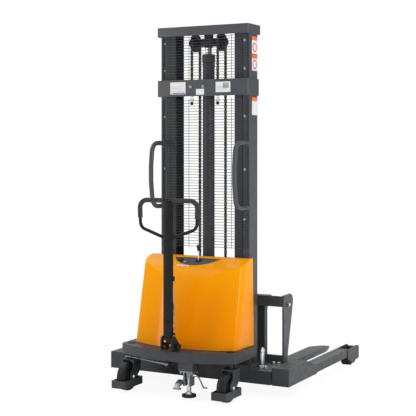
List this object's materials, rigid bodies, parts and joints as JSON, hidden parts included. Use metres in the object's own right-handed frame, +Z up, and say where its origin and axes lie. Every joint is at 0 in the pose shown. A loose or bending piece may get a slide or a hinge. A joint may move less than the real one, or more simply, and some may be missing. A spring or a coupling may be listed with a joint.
{
  "type": "walkie stacker",
  "caption": "Semi-electric straddle stacker with a two-stage lift mast, sliding forks, adjustable straddle legs, steered casters, a tilting tiller and a foot-operated floor lock.",
  "frame": {"origin": "floor level, under the middle of the truck's overall length and width", "axes": "+X to the operator's right, +Y towards the fork tips, +Z up"},
  "size_m": [1.156, 1.73, 2.08],
  "materials": {
    "grey_paint": "satin dark grey powder coat",
    "black_steel": "black paint, oily",
    "orange_plastic": "glossy moulded orange",
    "black_plastic": "fine grain",
    "panel_plastic": "dark grey grained",
    "rubber": "moulded",
    "polyurethane": "cast black tread",
    "zinc": "zinc plated",
    "chrome": "hard chromed rod",
    "chain_steel": "oiled leaf chain",
    "roller_steel": "ground and greased",
    "label": "printed film",
    "power_unit_paint": "black"
  },
  "bodies": {
    "chassis": {"outer_mast_left": "grey_paint", "outer_mast_right": "grey_paint", "mast_top_beam": "grey_paint", "mast_mid_beam": "grey_paint", "base_frame": "grey_paint", "base_plate": "grey_paint", "plate_caps": "black_plastic", "grab_handle_left": "grey_paint", "grab_handle_right": "grey_paint", "mesh_guard_upper": "black_steel", "mesh_guard_lower": "black_steel", "guard_bolts": "zinc", "lift_cylinder": "black_steel", "body_cover": "orange_plastic", "control_panel": "panel_plastic", "battery": "black_plastic", "hydraulic_power_unit": "power_unit_paint", "leg_clamp_bolts": "zinc", "chain_anchors": "zinc", "chain_rear_strands": "chain_steel", "floor_lock_body": "zinc", "rating_plates": "label"},
    "inner_mast": {"inner_mast_left": "grey_paint", "inner_mast_right": "grey_paint", "inner_top_beam": "grey_paint", "inner_bottom_beam": "grey_paint", "piston_rod": "chrome", "crosshead": "black_steel", "chain_wraps": "chain_steel"},
    "inner_roller_l": {"inner_roller_left": "roller_steel"},
    "inner_roller_r": {"inner_roller_right": "roller_steel"},
    "sprocket_l": {"sprocket_left": "chain_steel"},
    "sprocket_r": {"sprocket_right": "chain_steel"},
    "carriage": {"carriage_frame": "grey_paint", "fork_shaft": "grey_paint", "chain_front_strands": "chain_steel"},
    "carriage_roller_ll": {"carriage_roller_lower_left": "roller_steel"},
    "carriage_roller_lr": {"carriage_roller_lower_right": "roller_steel"},
    "carriage_roller_ul": {"carriage_roller_upper_left": "roller_steel"},
    "carriage_roller_ur": {"carriage_roller_upper_right": "roller_steel"},
    "left_fork": {"fork_left": "grey_paint"},
    "right_fork": {"fork_right": "grey_paint"},
    "left_leg": {"leg_left": "grey_paint"},
    "right_leg": {"leg_right": "grey_paint"},
    "load_roller_l": {"load_roller_left": "polyurethane"},
    "load_roller_r": {"load_roller_right": "polyurethane"},
    "caster_l": {"caster_fork_left": "grey_paint"},
    "caster_r": {"caster_fork_right": "grey_paint"},
    "caster_wheel_l": {"caster_wheel_left": "polyurethane"},
    "caster_wheel_r": {"caster_wheel_right": "polyurethane"},
    "steering_head": {"steer_head": "black_steel"},
    "tiller_arm": {"tiller": "black_steel", "tiller_grip": "rubber"},
    "drag_rod": {"drag_link": "zinc"},
    "tie_rod": {"cross_tie_rod": "zinc"},
    "lever": {"lift_lever": "zinc"},
    "key": {"key_switch": "zinc"},
    "lock_plunger": {"floor_lock_plunger": "zinc"},
    "lock_pedal": {"floor_lock_pedal": "zinc"},
    "lock_release": {"floor_lock_release": "zinc"}
  },
  "joints": [
    {"name": "mast_lift", "type": "slide", "parent": "chassis", "child": "inner_mast", "axis": [0, 0, 1], "range_m": [0, 1.46], "deforming": ["chain_rear_strands"]},
    {"name": "carriage_lift", "type": "slide", "parent": "inner_mast", "child": "carriage", "axis": [0, 0, 1], "range_m": [0, 1.46], "deforming": ["chain_front_strands"]},
    {"name": "sprocket_left_spin", "type": "hinge", "parent": "inner_mast", "child": "sprocket_l", "pos_m": [-0.085, -0.366, 1.988], "axis": [1, 0, 0], "range_deg": [0, 1680]},
    {"name": "inner_roller_left_spin", "type": "hinge", "parent": "inner_mast", "child": "inner_roller_l", "pos_m": [-0.265, -0.366, 0.132], "axis": [1, 0, 0], "continuous": true},
    {"name": "carriage_roller_lower_left_spin", "type": "hinge", "parent": "carriage", "child": "carriage_roller_ll", "pos_m": [-0.215, -0.366, 0.176], "axis": [1, 0, 0], "continuous": true},
    {"name": "carriage_roller_upper_left_spin", "type": "hinge", "parent": "carriage", "child": "carriage_roller_ul", "pos_m": [-0.215, -0.366, 0.452], "axis": [1, 0, 0], "continuous": true},
    {"name": "sprocket_right_spin", "type": "hinge", "parent": "inner_mast", "child": "sprocket_r", "pos_m": [0.085, -0.366, 1.988], "axis": [1, 0, 0], "range_deg": [0, 1680]},
    {"name": "inner_roller_right_spin", "type": "hinge", "parent": "inner_mast", "child": "inner_roller_r", "pos_m": [0.265, -0.366, 0.132], "axis": [1, 0, 0], "continuous": true},
    {"name": "carriage_roller_lower_right_spin", "type": "hinge", "parent": "carriage", "child": "carriage_roller_lr", "pos_m": [0.215, -0.366, 0.176], "axis": [1, 0, 0], "continuous": true},
    {"name": "carriage_roller_upper_right_spin", "type": "hinge", "parent": "carriage", "child": "carriage_roller_ur", "pos_m": [0.215, -0.366, 0.452], "axis": [1, 0, 0], "continuous": true},
    {"name": "fork_left_shift", "type": "slide", "parent": "carriage", "child": "left_fork", "axis": [-1, 0, 0], "range_m": [-0.1, 0.11]},
    {"name": "fork_right_shift", "type": "slide", "parent": "carriage", "child": "right_fork", "axis": [1, 0, 0], "range_m": [-0.1, 0.11]},
    {"name": "leg_left_width", "type": "slide", "parent": "chassis", "child": "left_leg", "axis": [-1, 0, 0], "range_m": [0, 0.08]},
    {"name": "leg_right_width", "type": "slide", "parent": "chassis", "child": "right_leg", "axis": [1, 0, 0], "range_m": [0, 0.08]},
    {"name": "load_roller_left_spin", "type": "hinge", "parent": "left_leg", "child": "load_roller_l", "pos_m": [-0.5375, 0.493, 0.038], "axis": [1, 0, 0], "continuous": true},
    {"name": "load_roller_right_spin", "type": "hinge", "parent": "right_leg", "child": "load_roller_r", "pos_m": [0.5375, 0.493, 0.038], "axis": [1, 0, 0], "continuous": true},
    {"name": "tiller_steer", "type": "hinge", "parent": "chassis", "child": "steering_head", "pos_m": [0, -0.805, 0.264], "axis": [0, 0, 1], "range_deg": [-60, 60]},
    {"name": "tiller_tilt", "type": "hinge", "parent": "steering_head", "child": "tiller_arm", "pos_m": [0, -0.84, 0.318], "axis": [1, 0, 0], "range_deg": [0, 75], "stiffness_Nm_per_rad": 30, "springref_deg": -34.38},
    {"name": "drag_link_pivot", "type": "hinge", "parent": "steering_head", "child": "drag_rod", "pos_m": [-0.0115, -0.8412, 0.189], "axis": [0, 0, 1], "range_deg": [-60, 60]},
    {"name": "caster_left_swivel", "type": "hinge", "parent": "chassis", "child": "caster_l", "pos_m": [-0.315, -0.705, 0.226], "axis": [0, 0, 1], "range_deg": [-60, 60]},
    {"name": "caster_right_swivel", "type": "hinge", "parent": "chassis", "child": "caster_r", "pos_m": [0.315, -0.705, 0.226], "axis": [0, 0, 1], "range_deg": [-60, 60]},
    {"name": "tie_rod_pivot", "type": "hinge", "parent": "caster_l", "child": "tie_rod", "pos_m": [-0.315, -0.667, 0.189], "axis": [0, 0, 1], "range_deg": [-60, 60]},
    {"name": "caster_wheel_left_spin", "type": "hinge", "parent": "caster_l", "child": "caster_wheel_l", "pos_m": [-0.315, -0.759, 0.08], "axis": [1, 0, 0], "continuous": true},
    {"name": "caster_wheel_right_spin", "type": "hinge", "parent": "caster_r", "child": "caster_wheel_r", "pos_m": [0.315, -0.759, 0.08], "axis": [1, 0, 0], "continuous": true},
    {"name": "lift_lever_tilt", "type": "hinge", "parent": "chassis", "child": "lever", "pos_m": [0.015, -0.5218, 0.71752], "axis": [1, 0, 0], "range_deg": [-18, 18], "stiffness_Nm_per_rad": 0.6},
    {"name": "key_turn", "type": "hinge", "parent": "chassis", "child": "key", "pos_m": [-0.06, -0.53612, 0.71772], "axis": [0, -0.4061, 0.9138], "range_deg": [0, 90]},
    {"name": "floor_lock_drop", "type": "slide", "parent": "chassis", "child": "lock_plunger", "axis": [0, 0, 1], "range_m": [-0.012, 0]},
    {"name": "floor_lock_pedal_press", "type": "hinge", "parent": "chassis", "child": "lock_pedal", "pos_m": [0.061, -0.809, 0.096], "axis": [1, 0, 0], "range_deg": [0, 24]},
    {"name": "floor_lock_release_swing", "type": "hinge", "parent": "chassis", "child": "lock_release", "pos_m": [0.128, -0.784, 0.13], "axis": [1, 0, 0], "range_deg": [-12, 18]}
  ],
  "couplings": [
    {"joint": "carriage_lift", "follows": "mast_lift", "ratio": 1},
    {"joint": "sprocket_left_spin", "follows": "mast_lift", "rad_per_m": 20},
    {"joint": "sprocket_right_spin", "follows": "mast_lift", "rad_per_m": 20},
    {"joint": "caster_left_swivel", "follows": "tiller_steer", "ratio": 1},
    {"joint": "caster_right_swivel", "follows": "tiller_steer", "ratio": 1},
    {"joint": "drag_link_pivot", "follows": "tiller_steer", "ratio": -1},
    {"joint": "tie_rod_pivot", "follows": "tiller_steer", "ratio": -1},
    {"joint": "floor_lock_pedal_press", "follows": "floor_lock_drop", "rad_per_m": -34}
  ]
}
